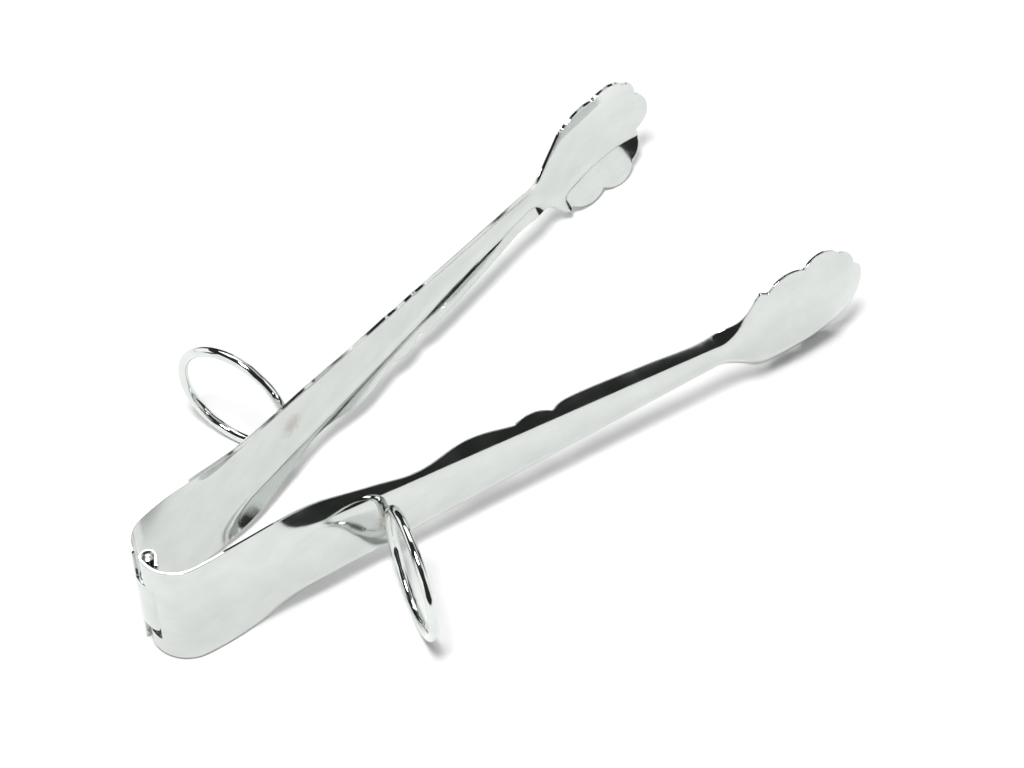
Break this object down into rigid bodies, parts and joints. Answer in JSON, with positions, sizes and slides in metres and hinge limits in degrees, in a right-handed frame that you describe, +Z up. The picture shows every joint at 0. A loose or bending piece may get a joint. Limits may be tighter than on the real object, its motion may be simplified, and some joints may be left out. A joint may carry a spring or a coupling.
{
  "type": "ice tongs",
  "caption": "Scissor-shaped polished steel ice tongs: channel arms on a rolled hinge, scalloped spoon-like claws and a wire finger ring on each arm.",
  "frame": {"origin": "under the middle of the half-open tongs, on the surface they lie on", "axes": "+X from the hinge to the claws, +Y to the left arm, +Z up along the hinge pin"},
  "size_m": [0.1772, 0.0944, 0.0306],
  "materials": {
    "polished_sheet": "mirror-polished stainless steel sheet",
    "polished_wire": "polished stainless steel wire",
    "pin_steel": "plain drawn stainless steel, peened head"
  },
  "bodies": {
    "right_half": {"right_arm": "polished_sheet", "hinge_pin": "pin_steel", "right_finger_ring": "polished_wire"},
    "left_half": {"left_arm": "polished_sheet", "left_finger_ring": "polished_wire"}
  },
  "joints": [
    {"name": "hinge", "type": "hinge", "parent": "right_half", "child": "left_half", "pos_m": [-0.0864, 0.0003, 0.01533], "axis": [0, 0, 1], "range_deg": [-21.4, 75]}
  ]
}
